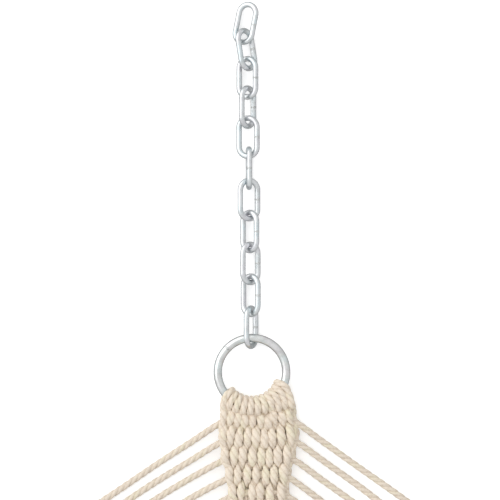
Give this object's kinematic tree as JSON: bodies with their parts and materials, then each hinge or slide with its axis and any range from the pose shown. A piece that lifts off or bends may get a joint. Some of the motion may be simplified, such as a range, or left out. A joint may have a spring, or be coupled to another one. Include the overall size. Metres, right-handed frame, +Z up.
{
  "type": "rope hammock",
  "caption": "Rope hammock laid flat, with a net bed between wooden spreader bars and, at each end, fanned cords, a woven clew, a steel ring and a short hanging chain.",
  "frame": {"origin": "on the floor under the middle of the bed, on the hammock's centre line", "axes": "+Y along the hammock towards its head end, +X to the right seen from above with the head end up, +Z up"},
  "size_m": [1.2, 3.4464, 0.025],
  "materials": {
    "cotton_rope": "natural undyed three-strand cotton rope",
    "hardwood": "oiled hardwood",
    "chain_steel": "zinc plated, satin",
    "ring_steel": "zinc plated, satin"
  },
  "bodies": {
    "foot_bed": {"foot_bed_net": "cotton_rope", "foot_side_cord_left": "cotton_rope", "foot_side_cord_right": "cotton_rope"},
    "foot_bar": {"foot_spreader_bar": "hardwood", "foot_bar_cords": "cotton_rope"},
    "foot_clew": {"foot_clew_weave": "cotton_rope", "foot_fan_cords_left": "cotton_rope", "foot_fan_cords_right": "cotton_rope"},
    "foot_ring": {"foot_ring": "ring_steel", "foot_ring_loops": "cotton_rope"},
    "foot_link_01": {"foot_chain_link_01": "chain_steel"},
    "foot_link_02": {"foot_chain_link_02": "chain_steel"},
    "foot_link_03": {"foot_chain_link_03": "chain_steel"},
    "foot_link_04": {"foot_chain_link_04": "chain_steel"},
    "foot_link_05": {"foot_chain_link_05": "chain_steel"},
    "foot_link_06": {"foot_chain_link_06": "chain_steel"},
    "foot_link_07": {"foot_chain_link_07": "chain_steel"},
    "foot_link_08": {"foot_chain_link_08": "chain_steel"},
    "foot_link_09": {"foot_chain_link_09": "chain_steel"},
    "foot_link_10": {"foot_chain_link_10": "chain_steel"},
    "foot_link_11": {"foot_chain_link_11": "chain_steel"},
    "head_bed": {"head_bed_net": "cotton_rope", "head_side_cord_left": "cotton_rope", "head_side_cord_right": "cotton_rope"},
    "head_bar": {"head_spreader_bar": "hardwood", "head_bar_cords": "cotton_rope"},
    "head_clew": {"head_clew_weave": "cotton_rope", "head_fan_cords_left": "cotton_rope", "head_fan_cords_right": "cotton_rope"},
    "head_ring": {"head_ring": "ring_steel", "head_ring_loops": "cotton_rope"},
    "head_link_01": {"head_chain_link_01": "chain_steel"},
    "head_link_02": {"head_chain_link_02": "chain_steel"},
    "head_link_03": {"head_chain_link_03": "chain_steel"},
    "head_link_04": {"head_chain_link_04": "chain_steel"},
    "head_link_05": {"head_chain_link_05": "chain_steel"},
    "head_link_06": {"head_chain_link_06": "chain_steel"},
    "head_link_07": {"head_chain_link_07": "chain_steel"},
    "head_link_08": {"head_chain_link_08": "chain_steel"},
    "head_link_09": {"head_chain_link_09": "chain_steel"},
    "head_link_10": {"head_chain_link_10": "chain_steel"},
    "head_link_11": {"head_chain_link_11": "chain_steel"}
  },
  "joints": [
    {"name": "bed_fold", "type": "hinge", "parent": "foot_bed", "child": "head_bed", "pos_m": [0, 0, 0.013], "axis": [1, 0, 0], "range_deg": [0, 160]},
    {"name": "head_bar_fold", "type": "hinge", "parent": "head_bed", "child": "head_bar", "pos_m": [0, 0.95, 0.006], "axis": [-1, 0, 0], "range_deg": [-80, 80]},
    {"name": "head_clew_fold", "type": "hinge", "parent": "head_bar", "child": "head_clew", "pos_m": [0, 1.0048, 0.0125], "axis": [1, 0, 0], "range_deg": [-80, 80]},
    {"name": "head_ring_swing", "type": "hinge", "parent": "head_clew", "child": "head_ring", "pos_m": [0, 1.3608, 0.0098], "axis": [-1, 0, 0], "range_deg": [-80, 80]},
    {"name": "head_link_01_swing", "type": "hinge", "parent": "head_ring", "child": "head_link_01", "pos_m": [-0.0008, 1.43419, 0.0098], "axis": [-1, 0, 0], "range_deg": [-80, 80]},
    {"name": "head_link_02_swing", "type": "hinge", "parent": "head_link_01", "child": "head_link_02", "pos_m": [-0.0008, 1.4598, 0.0098], "axis": [-0.4848, 0, 0.8746], "range_deg": [-80, 80]},
    {"name": "head_link_03_swing", "type": "hinge", "parent": "head_link_02", "child": "head_link_03", "pos_m": [-0.0011, 1.4873, 0.0097], "axis": [0.766, 0, 0.6428], "range_deg": [-80, 80]},
    {"name": "head_link_04_swing", "type": "hinge", "parent": "head_link_03", "child": "head_link_04", "pos_m": [-0.0014, 1.5147, 0.0098], "axis": [0.788, 0, -0.6157], "range_deg": [-80, 80]},
    {"name": "head_link_05_swing", "type": "hinge", "parent": "head_link_04", "child": "head_link_05", "pos_m": [-0.0019, 1.5421, 0.0103], "axis": [-0.7193, 0, -0.6947], "range_deg": [-80, 80]},
    {"name": "head_link_06_swing", "type": "hinge", "parent": "head_link_05", "child": "head_link_06", "pos_m": [-0.0026, 1.5695, 0.0105], "axis": [-0.9063, 0, 0.4226], "range_deg": [-80, 80]},
    {"name": "head_link_07_swing", "type": "hinge", "parent": "head_link_06", "child": "head_link_07", "pos_m": [-0.0026, 1.5965, 0.0106], "axis": [-0.0523, 0, -0.9986], "range_deg": [-80, 80]},
    {"name": "head_link_08_swing", "type": "hinge", "parent": "head_link_07", "child": "head_link_08", "pos_m": [-0.0034, 1.6231, 0.0104], "axis": [-0.9511, 0, -0.309], "range_deg": [-80, 80]},
    {"name": "head_link_09_swing", "type": "hinge", "parent": "head_link_08", "child": "head_link_09", "pos_m": [-0.0037, 1.6489, 0.0104], "axis": [0.6157, 0, -0.788], "range_deg": [-80, 80]},
    {"name": "head_link_10_swing", "type": "hinge", "parent": "head_link_09", "child": "head_link_10", "pos_m": [-0.0039, 1.6741, 0.0095], "axis": [0.866, 0, 0.5], "range_deg": [-80, 80]},
    {"name": "head_link_11_swing", "type": "hinge", "parent": "head_link_10", "child": "head_link_11", "pos_m": [-0.00747, 1.6983, 0.0091], "axis": [-0.6861, -0.1087, 0.7193], "range_deg": [-80, 80]},
    {"name": "foot_bar_fold", "type": "hinge", "parent": "foot_bed", "child": "foot_bar", "pos_m": [0, -0.95, 0.006], "axis": [1, 0, 0], "range_deg": [-80, 80]},
    {"name": "foot_clew_fold", "type": "hinge", "parent": "foot_bar", "child": "foot_clew", "pos_m": [0, -1.0048, 0.0125], "axis": [-1, 0, 0], "range_deg": [-80, 80]},
    {"name": "foot_ring_swing", "type": "hinge", "parent": "foot_clew", "child": "foot_ring", "pos_m": [0, -1.3608, 0.0098], "axis": [1, 0, 0], "range_deg": [-80, 80]},
    {"name": "foot_link_01_swing", "type": "hinge", "parent": "foot_ring", "child": "foot_link_01", "pos_m": [0.0008, -1.43419, 0.0098], "axis": [1, 0, 0], "range_deg": [-80, 80]},
    {"name": "foot_link_02_swing", "type": "hinge", "parent": "foot_link_01", "child": "foot_link_02", "pos_m": [0.0008, -1.4598, 0.0098], "axis": [0.4848, 0, 0.8746], "range_deg": [-80, 80]},
    {"name": "foot_link_03_swing", "type": "hinge", "parent": "foot_link_02", "child": "foot_link_03", "pos_m": [0.0011, -1.4873, 0.0097], "axis": [-0.766, 0, 0.6428], "range_deg": [-80, 80]},
    {"name": "foot_link_04_swing", "type": "hinge", "parent": "foot_link_03", "child": "foot_link_04", "pos_m": [0.0014, -1.5147, 0.0098], "axis": [-0.788, 0, -0.6157], "range_deg": [-80, 80]},
    {"name": "foot_link_05_swing", "type": "hinge", "parent": "foot_link_04", "child": "foot_link_05", "pos_m": [0.0019, -1.5421, 0.0103], "axis": [0.7193, 0, -0.6947], "range_deg": [-80, 80]},
    {"name": "foot_link_06_swing", "type": "hinge", "parent": "foot_link_05", "child": "foot_link_06", "pos_m": [0.0026, -1.5695, 0.0105], "axis": [0.9063, 0, 0.4226], "range_deg": [-80, 80]},
    {"name": "foot_link_07_swing", "type": "hinge", "parent": "foot_link_06", "child": "foot_link_07", "pos_m": [0.0026, -1.5965, 0.0106], "axis": [0.0523, 0, -0.9986], "range_deg": [-80, 80]},
    {"name": "foot_link_08_swing", "type": "hinge", "parent": "foot_link_07", "child": "foot_link_08", "pos_m": [0.0034, -1.6231, 0.0104], "axis": [0.9511, 0, -0.309], "range_deg": [-80, 80]},
    {"name": "foot_link_09_swing", "type": "hinge", "parent": "foot_link_08", "child": "foot_link_09", "pos_m": [0.0037, -1.6489, 0.0104], "axis": [-0.6157, 0, -0.788], "range_deg": [-80, 80]},
    {"name": "foot_link_10_swing", "type": "hinge", "parent": "foot_link_09", "child": "foot_link_10", "pos_m": [0.0039, -1.6741, 0.0095], "axis": [-0.866, 0, 0.5], "range_deg": [-80, 80]},
    {"name": "foot_link_11_swing", "type": "hinge", "parent": "foot_link_10", "child": "foot_link_11", "pos_m": [0.00747, -1.6983, 0.0091], "axis": [0.6861, 0.1087, 0.7193], "range_deg": [-80, 80]}
  ]
}
